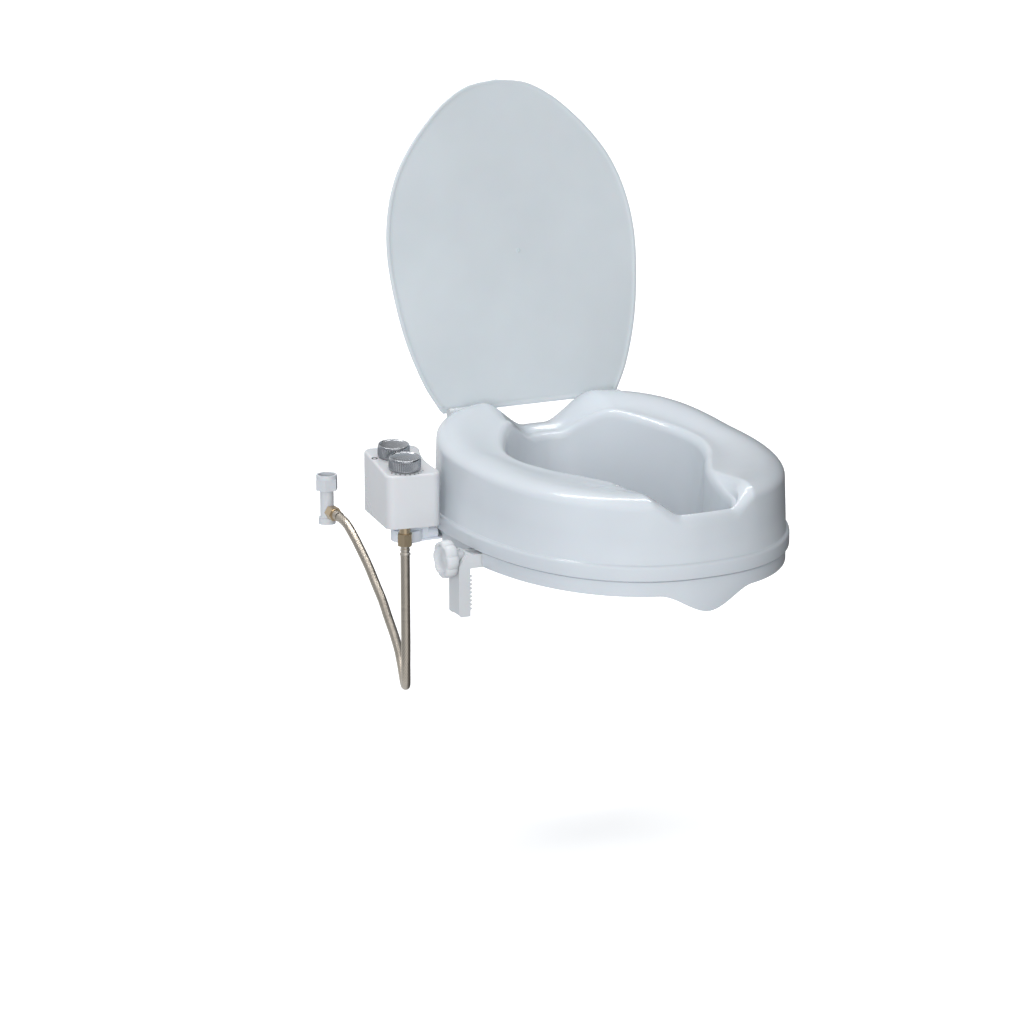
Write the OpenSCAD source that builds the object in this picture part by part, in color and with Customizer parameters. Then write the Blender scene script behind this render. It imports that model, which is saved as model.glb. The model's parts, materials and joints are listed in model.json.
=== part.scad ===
// Raised toilet seat with a hinged lid, two side clamps and a cold-water bidet attachment.
// Millimetres. X is across the seat, -Y is its front, +Z is up.
// The origin is the centre of the plane of the bowl's rim, on which the seat rests.

/* [Seat] */
// Half width of the skirt at its widest
seat_half_w = 193; // [190:1:196]
// Length from the widest line to the front of the skirt
seat_front = 273; // [270:1:276]
// Length from the widest line to the back of the skirt
seat_rear = 199; // [195:1:200]
// Height of the top above the bowl's rim, halfway along
seat_height = 115; // [113:1:118]
// Wall of the mouldings
wall = 3.5; // [3:0.5:4]
// Depth of the recess in the front edge
front_dip = 22; // [18:1:25]
// Depth of the recess in the rear edge
rear_dip = 37; // [30:1:38]

/* [Lid] */
// Length of the lid from its hinge line
lid_len = 410; // [405:1:415]
// Thickness of the lid
lid_t = 3.5; // [3:0.5:4]
// Angle between the open lid and the horizontal behind it
lid_open = 76.3; // [74:0.1:78]

/* [Clamps] */
// Distance of the left clamp behind the origin
clamp_left_y = -22; // [-24:1:-20]
// Distance of the right clamp behind the origin
clamp_right_y = 70; // [68:1:72]
// Diameter of the star knobs
knob_d = 45; // [42:1:48]
// Length of the hanging leg below the skirt
leg_len = 59; // [55:1:62]

/* [Control box] */
// Width of the box
box_w = 68; // [66:1:70]
// Length of the box
box_l = 108; // [106:1:110]
// Diameter of the two dials
dial_d = 39; // [37:1:40]
// Height of the two dials
dial_h = 14.5; // [13:0.5:16]

/* [Water supply] */
// Diameter of the braided hose
hose_d = 11.5; // [11:0.5:12]

/* [Hidden] */
$fn = 64;

white = [0.83, 0.87, 0.90];
bright_white = [0.94, 0.95, 0.96];
grey = [0.45, 0.46, 0.48];
steel = [0.55, 0.53, 0.50];
brass = [0.72, 0.58, 0.38];
dark = [0.15, 0.15, 0.16];
eps = 0.01;

// ---- Seat: levels and outlines ----
widest_y = 25;          // the widest line of the seat
top_slope = 0.024;      // the top falls towards the front
rear_rise = 14;         // and rises to the two rear lobes
joint_z = 13.5;         // where the shell stands on the base ring
bead_top = 32.5;
bead_out = 4.5;
draft = 2.7;
roll_w = 26;            // outer edge rounding
roll_h = 16;
lip_r = 24;             // inner edge rounding
inward_fall = 6;
skirt_drop = 6;
flap_drop = 23;
flap_half = 62;
web_bottom = 7;
web_top = 10.5;
collar_z = -18;
rings_per_span = 4;

// Half of the opening's top edge, front to back
half_opening = [
    [0, -229], [34, -227], [46, -212], [50, -182], [56, -150], [66, -118], [82, -86],
    [102, -48], [116, 0], [114, 48], [92, 96], [62, 134], [34, 158], [0, 168]
];
last_half = len(half_opening) - 1;
opening = concat(half_opening, [for (i = [last_half - 1:-1:1]) [-half_opening[i][0], half_opening[i][1]]]);

function wrap(i, n) = (i + n) % n;
function blend4(a, b, c, d, t) = 0.5 * (2 * b + (c - a) * t + (2 * a - 5 * b + 4 * c - d) * t * t
    + (3 * b - a - 3 * c + d) * t * t * t);
function closed_curve(p, k) = [for (i = [0:len(p) - 1]) for (j = [0:k - 1])
    blend4(p[wrap(i - 1, len(p))], p[i], p[wrap(i + 1, len(p))], p[wrap(i + 2, len(p))], j / k)];
function open_curve(p, k) = concat([for (i = [0:len(p) - 2]) for (j = [0:k - 1])
    blend4(i == 0 ? 2 * p[0] - p[1] : p[i - 1], p[i], p[i + 1],
           i == len(p) - 2 ? 2 * p[i + 1] - p[i] : p[i + 2], j / k)], [p[len(p) - 1]]);
function smooth(t) = let (u = max(0, min(1, t))) u * u * (3 - 2 * u);
function mix(a, b, t) = a + (b - a) * t;

// Distance from the widest line's centre to an oval with blunt corners, at angle a from the front
function oval(half_w, front, rear, blunt_front, blunt_rear, a) =
    let (ahead = cos(a) > 0, n = ahead ? blunt_front : blunt_rear, l = ahead ? front : rear)
    pow(pow(abs(sin(a)) / half_w, n) + pow(abs(cos(a)) / l, n), -1 / n);
function skirt_r(a) = oval(seat_half_w, seat_front, seat_rear, 2.3, 2.38, a);
function collar_r(a) = oval(92, 180, 104, 2.1, 2.1, a);
function at(a, r) = [r * sin(a), widest_y - r * cos(a)];

function front_recess(x, y) = y > 0 ? 0 : front_dip * (1 - smooth((abs(x) - 32) / 38));
function rear_recess(x, y) = y < 60 ? 0 : rear_dip * (1 - smooth((abs(x) - 15) / 66)) * smooth((y - 90) / 60);
function top_z(p) = seat_height + top_slope * p[1] + rear_rise * smooth((p[1] - 20) / 175)
    - front_recess(p[0], p[1]) - rear_recess(p[0], p[1]);
function flap(x, y) = y > 0 ? 0 : flap_drop * (1 - smooth(abs(x) / flap_half));

// Cross-section of the shell on the ray at angle a, as [radius, height]
function shell_section(a, ri) =
    let (ro = skirt_r(a), rb = collar_r(a), w = ro - ri,
         rw = min(roll_w, 0.45 * w), lip = min(lip_r, 0.35 * w), rh = roll_h,
         z_in = top_z(at(a, ri + lip)) - inward_fall)
    concat(
        [[ro + bead_out, joint_z], [ro + bead_out, bead_top - 5], [ro + 0.6 * bead_out, bead_top - 1.8],
         [ro, bead_top]],
        [for (b = [0:30:90]) let (r = ro - draft - rw * (1 - cos(b))) [r, top_z(at(a, r)) - rh * (1 - sin(b))]],
        [let (r = mix(ro - draft - rw, ri + lip, 0.6)) [r, top_z(at(a, r)) - 0.4 * inward_fall]],
        [for (b = [0:45:90]) [ri + lip * (1 - sin(b)), z_in - lip * (1 - cos(b))]],
        [[mix(ri, rb, 0.42), mix(z_in - lip, collar_z, 0.5)], [rb, collar_z]],
        [[rb + wall, collar_z], [mix(ri, rb, 0.42) + wall, mix(z_in - lip, collar_z, 0.5)],
         [ri + wall, z_in - lip - 1], [ri + lip, z_in - wall],
         [ro - draft - rw, top_z(at(a, ro - draft - rw)) - wall],
         [ro - draft - wall, top_z(at(a, ro - draft)) - rh], [ro - wall, bead_top], [ro - wall, joint_z]]
    );

// Cross-section of the base ring: skirt, groove, web
function base_section(a, ri) =
    let (ro = skirt_r(a), rb = collar_r(a), rw = mix(rb, ri, 0.3) + wall + 2,
         p = at(a, ro), low = -skirt_drop - flap(p[0], p[1]))
    [[ro, low], [ro, joint_z - 2], [ro - 1.5, joint_z - 2], [ro - 1.5, joint_z], [ro - 6, joint_z],
     [ro - 6, web_top], [rw, web_top], [rw, web_bottom], [ro - 4, web_bottom], [ro - 4, low]];

function ray_angle(p) = atan2(p[0], widest_y - p[1]);
seat_rays = [for (p = closed_curve(opening, rings_per_span)) [ray_angle(p), norm(p - [0, widest_y])]];
shell_rings = [for (q = seat_rays) [for (s = shell_section(q[0], q[1]))
    let (p = at(q[0], s[0])) [p[0], p[1], s[1]]]];
base_rings = [for (q = seat_rays) [for (s = base_section(q[0], q[1]))
    let (p = at(q[0], s[0])) [p[0], p[1], s[1]]]];

// A closed ring of equal cross-sections
module looped(rings) {
    n = len(rings);
    m = len(rings[0]);
    polyhedron(
        points = [for (r = rings) for (p = r) p],
        faces = [for (i = [0:n - 1]) for (j = [0:m - 1])
            for (f = [[i * m + j, i * m + (j + 1) % m, ((i + 1) % n) * m + (j + 1) % m],
                      [i * m + j, ((i + 1) % n) * m + (j + 1) % m, ((i + 1) % n) * m + j]]) f],
        convexity = 10
    );
}

// A round tube or rod swept along points, with flat ends
function along(p, i) = let (a = p[max(0, i - 1)], b = p[min(len(p) - 1, i + 1)]) (b - a) / norm(b - a);
function side_of(t, ref) = let (s = cross(ref, t)) s / norm(s);
module swept(path, d, sides, ref) {
    n = len(path);
    polyhedron(
        points = [for (i = [0:n - 1]) let (t = along(path, i), s = side_of(t, ref), u = cross(t, s))
            for (j = [0:sides - 1]) path[i] + d / 2 * (cos(j * 360 / sides) * s + sin(j * 360 / sides) * u)],
        faces = concat(
            [[for (j = [0:sides - 1]) j]],
            [for (i = [0:n - 2]) for (j = [0:sides - 1])
                let (k = (j + 1) % sides) [i * sides + j, (i + 1) * sides + j, (i + 1) * sides + k, i * sides + k]],
            [[for (j = [sides - 1:-1:0]) (n - 1) * sides + j]]
        ),
        convexity = 10
    );
}

module rod(r, h) { cylinder(r = r, h = h); }
module pipe(ro, ri, h) {
    difference() {
        cylinder(r = ro, h = h);
        translate([0, 0, -1]) cylinder(r = ri, h = h + 2);
    }
}
module along_x(x) { translate([x, 0, 0]) rotate([0, 90, 0]) children(); }
module hexagon(r, h) { cylinder(r = r, h = h, $fn = 6); }

// ---- Seat ----
screw_angles = [38, 84, 140];
screw_inset = 24;
boss_r = 5;
screw_r = 2;
screw_places = [for (s = [-1, 1]) for (a = screw_angles) at(s * a, skirt_r(a) - screw_inset)];

hinge_x = 102;          // middle of each hinge
hinge_half = 18.5;
hinge_notch_y = 195;
hinge_notch_z = 92;
slot_half = 15;         // slots for the clamps
slot_inner = 136;
slot_outer = 208;

module both_sides() {
    children();
    mirror([1, 0, 0]) children();
}

module seat_shell() {
    color(white) difference() {
        union() {
            looped(shell_rings);
            for (p = screw_places) translate([p[0], p[1], web_top]) rod(boss_r, top_z(p) - 12 - web_top);
        }
        for (p = screw_places) translate([p[0], p[1], web_top - 1]) rod(screw_r + 0.05, 18);
        both_sides() translate([hinge_x - hinge_half, hinge_notch_y, hinge_notch_z])
            cube([2 * hinge_half, 40, 60]);
        translate([-36, 90, collar_z - 1]) cube([72, 64, 39]);
    }
}

module base_ring() {
    color(white) difference() {
        looped(base_rings);
        for (c = [[-slot_outer, clamp_left_y], [slot_inner, clamp_right_y]])
            translate([c[0], c[1] - slot_half, -30]) cube([slot_outer - slot_inner, 2 * slot_half, 44.5]);
        for (p = screw_places) translate([p[0], p[1], 0]) rod(screw_r + 0.2, 30);
        translate([-210, arm_y - 21, -30]) cube([60, 42, 37]);
        translate([-96, 142, web_bottom - 1]) cube([192, 58, 10]);
    }
}

// Flat rubber pads under the web, each a short arc of the rim
pad_angles = [20, 56, 90];
pad_span = 9;
pad_out = 22;
pad_in = 40;
module rim_pad(a0) {
    steps = [for (k = [-1:0.25:1]) a0 + k * pad_span];
    linear_extrude(web_bottom) polygon(concat(
        [for (a = steps) at(a, skirt_r(a) - pad_out)],
        [for (i = [len(steps) - 1:-1:0]) at(steps[i], skirt_r(steps[i]) - pad_in)]
    ));
}
module rim_pads() {
    color(dark) difference() {
        for (s = [-1, 1]) for (a = pad_angles) rim_pad(s * a);
        for (p = screw_places) translate([p[0], p[1], -1]) rod(6, 20);
    }
}
module base_screws() {
    color(steel) for (p = screw_places) translate([p[0], p[1], 0]) {
        translate([0, 0, web_bottom - 2.5]) rod(4, 2.5);
        translate([0, 0, web_bottom - eps]) rod(screw_r, 18);
    }
}

// ---- Lid ----
face_back = 14;            // the lid's inner face lies this far behind the hinge axis
face_foot = [0, 215.4, 118.1];
axis_at = face_foot - face_back * [0, sin(lid_open), -cos(lid_open)];
knuckle_r = 6;
pin_r = 3;
knuckle_half = 10.5;
half_lid = [
    [0, lid_len], [40, lid_len - 6], [74, lid_len - 24], [103, lid_len - 49], [129, lid_len - 78],
    [151, lid_len - 112], [166, lid_len - 153], [173, lid_len - 200], [171, 158], [161, 96], [143, 40], [124, 4]
];
lid_side = open_curve(half_lid, 4);

module in_lid_frame() { translate(axis_at) rotate([lid_open, 0, 0]) children(); }

module lid_panel() {
    color(white) in_lid_frame() difference() {
        union() {
            translate([0, 0, -face_back - lid_t]) linear_extrude(lid_t) polygon(concat(
                [for (i = [len(lid_side) - 1:-1:0]) lid_side[i]],
                [for (i = [1:len(lid_side) - 1]) [-lid_side[i][0], lid_side[i][1]]],
                [[-120, 0], [120, 0]]
            ));
            both_sides() {
                along_x(hinge_x - knuckle_half) rod(knuckle_r, 2 * knuckle_half);
                translate([hinge_x - knuckle_half, -5.5, -face_back - 1])
                    cube([2 * knuckle_half, 11, face_back]);
            }
        }
        both_sides() along_x(hinge_x - knuckle_half - 1) rod(pin_r + 0.06, 2 * knuckle_half + 2);
    }
}
ear_gap = 0.5;
module hinge_bracket() {
    ear_w = hinge_half - knuckle_half - ear_gap - 0.5;
    color(white) difference() {
        union() {
            for (x = [hinge_x - hinge_half + 0.5, hinge_x + knuckle_half + ear_gap]) translate([x, 0, 0]) {
                translate([0, axis_at[1], axis_at[2]]) along_x(0) rod(knuckle_r, ear_w);
                translate([0, axis_at[1] - knuckle_r, hinge_notch_z])
                    cube([ear_w, 2 * knuckle_r, axis_at[2] - hinge_notch_z]);
            }
            translate([hinge_x - hinge_half + 0.5, hinge_notch_y, hinge_notch_z])
                cube([2 * hinge_half - 1, 10.5, axis_at[2] - knuckle_r - 1.5 - hinge_notch_z]);
        }
        translate([0, axis_at[1], axis_at[2]]) along_x(hinge_x - hinge_half - 1)
            rod(pin_r + 0.02, 2 * hinge_half + 2);
    }
}
module hinge_pin() {
    color(bright_white) translate([0, axis_at[1], axis_at[2]])
        along_x(hinge_x - hinge_half + 0.5) rod(pin_r, 2 * hinge_half - 1);
}

// ---- Clamps (drawn on the +X side, level with the origin) ----
screw_z = 5;
leg_outer = 220;
leg_inner = 205;
tongue_tip = 178;
head_top = 12.8;
leg_top = -6.5;
plate = 2.5;
tooth_pitch = 5;
tooth_count = 9;
tooth_depth = 2.6;
thread_r = 4;
nut_x = 166;
nut_len = 12;
knob_face = 222;        // inner face of the star knob
knob_t = 16;
screw_tip = 163;

module clamp_cheek() {
    rotate([90, 0, 0]) linear_extrude(5, center = true) polygon([
        [leg_outer, leg_top], [leg_outer, leg_top + 4], [leg_outer - 11, head_top - 1],
        [leg_outer - 14, head_top], [leg_outer - 19, web_top - 0.5], [tongue_tip, web_top - 0.5],
        [tongue_tip, leg_top]
    ]);
}
module clamp_leg_flange() {
    rotate([90, 0, 0]) linear_extrude(plate, center = true) polygon(concat(
        [[leg_outer, leg_top + 1], [leg_inner, leg_top + 1]],
        [for (k = [0:tooth_count - 1]) let (z = leg_top - 8 - k * tooth_pitch)
            for (q = [[0, 0], [-tooth_depth, -1], [-tooth_depth, -2], [0, -3]]) [leg_inner + q[0], z + q[1]]],
        [[leg_inner, leg_top - leg_len], [leg_outer - 3, leg_top - leg_len], [leg_outer, leg_top - leg_len + 3]]
    ));
}
module clamp_arm() {
    color(bright_white) difference() {
        union() {
            for (y = [-11.5, 11.5]) translate([0, y, 0]) clamp_cheek();
            translate([leg_outer - 15, -9.5, leg_top]) cube([4, 19, head_top - leg_top - 0.5]);
            translate([leg_outer - 14, -9.5, leg_top]) cube([14, 19, 3]);
            for (y = [-12.7, 12.7]) translate([0, y, 0]) clamp_leg_flange();
            translate([leg_outer - plate, -13, leg_top - leg_len + 3]) cube([plate, 26, leg_len]);
        }
        translate([0, 0, screw_z]) along_x(leg_outer - 30) rod(thread_r + 0.08, 40);
    }
}
module clamp_screw() {
    color(bright_white) translate([0, 0, screw_z]) {
        along_x(screw_tip) rod(thread_r, knob_face + 2 - screw_tip);
    }
}
module clamp_knob() {
    lobes = 8;
    lobe_r = 6;
    hub_r = 8;
    color(bright_white) translate([0, 0, screw_z]) difference() {
        union() {
            along_x(knob_face) linear_extrude(knob_t) {
                circle(r = knob_d / 2 - 3.5);
                for (k = [0:lobes - 1]) rotate(k * 360 / lobes)
                    translate([knob_d / 2 - lobe_r + 1, 0]) circle(r = lobe_r);
            }
            along_x(leg_outer - 10.7) rod(hub_r, knob_face - leg_outer + 11);
        }
        along_x(knob_face + knob_t - 5) rod(knob_d / 2 - 6, 10);
        along_x(leg_outer - 11) rod(thread_r + 0.03, knob_face + 2 - leg_outer + 11);
    }
}
module clamp_nut() {
    color(grey) difference() {
        union() {
            translate([nut_x, -7.5, 1]) cube([nut_len, 15, 15]);
            translate([nut_x, -22, web_top]) cube([nut_len, 44, 2.5]);
        }
        translate([0, 0, screw_z]) along_x(nut_x - 1) rod(thread_r + 0.05, nut_len + 2);
    }
}

module on_left_clamp() { translate([0, clamp_left_y, 0]) mirror([1, 0, 0]) children(); }
module on_right_clamp() { translate([0, clamp_right_y, 0]) children(); }

// ---- Control box, in its own frame: +Y to the rear, turned in towards the seat ----
box_at = [-232, 99, 0];
box_turn = -8;
box_bottom = 27;
box_top = 97.5;         // height of the top face halfway along
box_slope = 5.3;
corner_r = 11;
box_wall = 2.5;
dial_x = -4.5;
dial_front_y = -28.5;
dial_rear_y = 18.5;
function in_box(p) = let (dx = p[0] - box_at[0], dy = p[1] - box_at[1])
    [dx * cos(box_turn) + dy * sin(box_turn), dy * cos(box_turn) - dx * sin(box_turn)];
hose_top = [-246, 60, 3];
inlet = in_box(hose_top);
outlet = [8, 20];
module in_box_frame() { translate(box_at) rotate([0, 0, box_turn]) children(); }
module box_outline(inset) {
    hw = box_w / 2 - inset;
    hl = box_l / 2 - inset;
    c = corner_r - inset;
    hollow_r = 150;
    difference() {
        union() {
            translate([-hw + c, -hl]) square([2 * hw - 2 * c, 2 * hl]);
            translate([-hw, -hl + c]) square([2 * hw, 2 * hl - 2 * c]);
            for (x = [-hw + c, hw - c]) for (y = [-hl + c, hl - c]) translate([x, y]) circle(r = c);
        }
        translate([box_w / 2 + hollow_r - 5, 0]) circle(r = hollow_r + inset, $fn = 128);
    }
}
module below_top(drop) {
    translate([0, 0, box_top - drop]) rotate([box_slope, 0, 0])
        translate([-100, -100, -160]) cube([200, 200, 160]);
}
module on_top(y) {
    translate([dial_x, 0, box_top]) rotate([box_slope, 0, 0]) translate([0, y / cos(box_slope), 0]) children();
}
module each_dial() { for (y = [dial_front_y, dial_rear_y]) on_top(y) children(); }
module box_cover() {
    color(bright_white) in_box_frame() difference() {
        intersection() {
            translate([0, 0, box_bottom]) linear_extrude(90) box_outline(0);
            below_top(0);
        }
        intersection() {
            translate([0, 0, box_bottom - 1]) linear_extrude(90) box_outline(box_wall);
            below_top(box_wall);
        }
        each_dial() translate([0, 0, -10]) rod(6, 20);
    }
}
base_screw_xy = [[-22, 36], [-22, -20], [14, 40], [12, -42]];
module box_base() {
    color(bright_white) in_box_frame() difference() {
        translate([0, 0, box_bottom + 0.5]) linear_extrude(box_wall) box_outline(box_wall + 0.2);
        translate([inlet[0], inlet[1], 0]) rod(6.6, 60);
        translate([outlet[0], outlet[1], 0]) rod(3.2, 60);
        for (p = base_screw_xy) translate([p[0], p[1], 0]) rod(1.6, 60);
    }
}
module box_screws() {
    color(steel) in_box_frame() for (p = base_screw_xy) translate([p[0], p[1], box_bottom - 1.6]) {
        rod(3, 2.1);
        rod(1.5, 14);
    }
}
valve_low = 46;
stub_z = 7.5;
module valve_body() {
    color(grey) in_box_frame() difference() {
        union() {
            translate([dial_x - 15, -48, valve_low]) cube([30, 82, 22]);
            each_dial() translate([0, 0, -32]) rod(11, 20);
            translate([outlet[0], outlet[1], valve_low - 8]) rod(5, 9);
        }
        each_dial() translate([0, 0, -28]) rod(5, 30);
        translate([inlet[0], inlet[1], valve_low - 1]) rod(6.55, 11);
        translate([outlet[0], outlet[1], valve_low - 9]) rod(3, 16);
    }
}
module valve_seals() {
    color(dark) in_box_frame() each_dial() translate([0, 0, -20])
        rotate_extrude() translate([4.5, 0]) circle(r = 0.5, $fn = 24);
}
module spindle(y) {
    color(bright_white) in_box_frame() on_top(y) {
        translate([0, 0, -27.5]) rod(4.95, 6.5);
        translate([0, 0, -22]) rod(3.9, 30);
    }
}
module dial(y) {
    color(grey) in_box_frame() on_top(y) translate([0, 0, 1]) difference() {
        rod(dial_d / 2, dial_h);
        translate([0, 0, -1]) rod(4, 8);
    }
}
module pressure_spindle() { spindle(dial_front_y); }
module mode_spindle() { spindle(dial_rear_y); }
module pressure_dial() { dial(dial_front_y); }
module mode_dial() { dial(dial_rear_y); }
module inlet_stub() {
    color(brass) in_box_frame() translate([inlet[0], inlet[1], stub_z]) pipe(6.5, 4, valve_low + 9.9 - stub_z);
}

// ---- Bidet plate and nozzle ----
plate_z = 0.3;
plate_t = 2.4;
arm_y = 95;
bolt_x = 70;
bolt_y = 178;
bar_r = 6.4;
disc_r = 20;
disc_t = 1.6;
module slot2d(r, l) {
    translate([-l / 2, -r]) square([l, 2 * r]);
    for (s = [-1, 1]) translate([s * l / 2, 0]) circle(r = r);
}
module mounting_arm() {
    color([0.72, 0.77, 0.83]) difference() {
        union() {
            translate([0, 0, plate_z]) linear_extrude(plate_t) {
                translate([-100, 134]) square([200, 62]);
                translate([-236, arm_y - 18]) square([146, 36]);
                translate([-150, arm_y - 18]) square([60, 64]);
            }
            translate([-240, arm_y - 16, plate_z]) cube([34, 34, box_bottom - plate_z]);
            translate([-228, arm_y - 2, plate_z]) rod(20, 14);
            translate([-240, arm_y, plate_z + bar_r]) rotate([90, 0, 90]) linear_extrude(47) slot2d(bar_r, 20);
        }
        translate([0, arm_y + 3.7, 5.1]) along_x(-210) rod(2.8, 20);
        for (s = [-1, 1]) translate([s * bolt_x, bolt_y, -5]) rod(disc_r + 0.1, 20);
        translate([-234, arm_y - 10, plate_z + plate_t]) cube([29, 32, 40]);
        translate([-17, 130, -1]) cube([34, 28, 6]);
    }
}
module bolt_disc() {
    color(bright_white) translate([bolt_x, bolt_y, plate_z]) difference() {
        union() {
            rod(disc_r, plate_t);
            translate([0, 0, plate_t]) rod(disc_r + 3, disc_t);
        }
        translate([0, 6, -1]) rod(6, 10);
    }
}
nozzle_tilt = 25;
nozzle_at = [0, 106, -12];
module in_nozzle_frame() { translate(nozzle_at) rotate([90 + nozzle_tilt, 0, 0]) children(); }
nozzle_r = 5;
nozzle_len = 46;
module nozzle_housing() {
    color(bright_white) difference() {
        union() {
            in_nozzle_frame() translate([-16, -9, -52]) cube([32, 18, 52]);
            translate([-26, 124, -2.5]) cube([52, 34, plate_z + 2.5]);
        }
        in_nozzle_frame() translate([0, 0, -46]) rod(nozzle_r + 0.3, 60);
        in_nozzle_frame() translate([0, 0, -46]) rod(nozzle_r + 2, 36);
        translate([-17, tube_end[1], tube_end[2]]) along_x(0) rod(1.2, 14);
    }
}
module nozzle_tube() {
    color(bright_white) in_nozzle_frame() difference() {
        union() {
            translate([0, 0, -44]) rod(nozzle_r + 1.9, 3);
            translate([0, 0, -44]) rod(nozzle_r + 0.23, nozzle_len);
        }
        translate([0, 0, -50]) rod(3, 50);
    }
}
spring_turns = 9;
spring_sides = 6;
spring_steps = spring_turns * 12;
spring_path = [for (i = [0:spring_steps]) [6.1 * cos(i * 30), 6.1 * sin(i * 30), -40 + i * 29 / spring_steps]];
module nozzle_spring() {
    color(steel) in_nozzle_frame() swept(spring_path, 0.8, spring_sides, [0, 0, 1]);
}
tube_end = [-16, 146.9, 7.05];
tube_path = [
    [-221.3, 117.7, 42], [-221.3, 117.5, 28], [-219, 112, 14], [-214, 104, 7], [-204, 99, 4.8],
    [-170, 100, 4.8], [-140, 112, 4.8], [-110, 130, 4.8], [-80, 142, 4.8], [-50, 146, 4.8],
    [-32, 146.9, 6], tube_end
];
module water_tube() {
    color([0.85, 0.88, 0.92]) swept(open_curve(tube_path, 3), 4, 8, [0.3, -1, 0.1]);
}

// ---- Braided hose and tee ----
tee_at = [-210, 380, -35];
nut_r = 9.4;
nut_h = 15;
ferrule_h = 12;
hose_path = [
    [-246, 60, -9], [-246, 60, -45], [-246, 60, -85], [-246, 60, -122], [-244.5, 64, -150],
    [-239, 76, -173], [-230, 97, -187], [-221, 121, -188], [-214, 143, -177], [-210, 161, -162],
    [-208, 179, -147], [-207, 198, -131], [-206, 217, -114], [-206, 237, -98], [-206, 258, -81],
    [-207, 279, -65], [-208, 300, -50.5], [-209, 320, -39.5], [-210, 340, -35]
];
module hose() {
    color(steel) swept(open_curve(hose_path, 3), hose_d, 10, [0.9, -0.4, 0.1]);
}
module hose_nut() {
    color(brass) difference() {
        hexagon(nut_r, nut_h);
        translate([0, 0, 4]) rod(6.55, nut_h);
        translate([0, 0, -1]) rod(5, 10);
    }
}
module hose_ferrule() { color(steel) pipe(hose_d / 2 + 1, hose_d / 2 - 2, ferrule_h); }
module at_box_end() { translate(hose_top) children(); }
module at_tee_end() { translate(tee_at + [0, -28, 0]) rotate([-90, 0, 0]) children(); }
module hose_nut_box() { at_box_end() hose_nut(); }
module hose_nut_tee() { at_tee_end() hose_nut(); }
module hose_ferrule_box() { at_box_end() translate([0, 0, -ferrule_h]) hose_ferrule(); }
module hose_ferrule_tee() { at_tee_end() translate([0, 0, -ferrule_h]) hose_ferrule(); }
module hose_washers() {
    color(dark) {
        at_box_end() translate([0, 0, 4]) pipe(6.5, 4, 0.5);
        at_tee_end() translate([0, 0, 4]) pipe(6.5, 4, 0.5);
    }
}
tee_bore = 11.1;
tee_flange_z = 30;
module tee_body() {
    color(bright_white) translate(tee_at) difference() {
        union() {
            translate([0, 0, -18]) rod(11, 8.4);
            translate([0, 0, -18]) rod(8.8, tee_flange_z + 18);
            translate([0, 0, tee_flange_z]) rod(10.8, 1.8);
            translate([0, -24, 0]) rotate([-90, 0, 0]) translate([0, 0, 0.6]) rod(6.5, 20);
        }
        translate([0, 0, -30]) rod(5, 100);
        rotate([90, 0, 0]) rod(4, 40);
    }
}
module tee_nut() {
    color(bright_white) translate(tee_at + [0, 0, 27]) difference() {
        union() {
            hexagon(15, 15);
            translate([0, 0, 14]) rod(13.5, 6);
        }
        translate([0, 0, -1]) rod(8.9, 10);
        translate([0, 0, 3]) rod(12, 3.6);
        translate([0, 0, 6.6]) rod(tee_bore, 30);
    }
}
module tee_washer() {
    color(dark) translate(tee_at + [0, 0, tee_flange_z + 1.8]) pipe(10, 5, 1.6);
}

seat_shell();
base_ring();
rim_pads();
base_screws();
mirror([1, 0, 0]) hinge_bracket();  // hinge_bracket_left
hinge_bracket();  // hinge_bracket_right
mirror([1, 0, 0]) hinge_pin();  // hinge_pin_left
hinge_pin();  // hinge_pin_right
lid_panel();
on_left_clamp() clamp_arm();  // clamp_arm_left
on_right_clamp() clamp_arm();  // clamp_arm_right
on_left_clamp() clamp_screw();  // clamp_screw_left
on_right_clamp() clamp_screw();  // clamp_screw_right
on_left_clamp() clamp_knob();  // clamp_knob_left
on_right_clamp() clamp_knob();  // clamp_knob_right
on_left_clamp() clamp_nut();  // clamp_nut_left
on_right_clamp() clamp_nut();  // clamp_nut_right
box_cover();
box_base();
box_screws();
valve_body();
valve_seals();
pressure_spindle();
mode_spindle();
pressure_dial();
mode_dial();
inlet_stub();
mounting_arm();
mirror([1, 0, 0]) bolt_disc();  // bolt_disc_left
bolt_disc();  // bolt_disc_right
nozzle_housing();
nozzle_tube();
nozzle_spring();
water_tube();
hose();
hose_nut_box();
hose_nut_tee();
hose_ferrule_box();
hose_ferrule_tee();
hose_washers();
tee_body();
tee_nut();
tee_washer();
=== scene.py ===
"""Looks of the raised toilet seat: shells, lid, control box, dials, star knobs, hose and materials.

Shapes are worked out in millimetres in the frame's axes and made in metres.
"""
import json
import math

import bmesh
import bpy
from mathutils import Matrix, Vector


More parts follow.
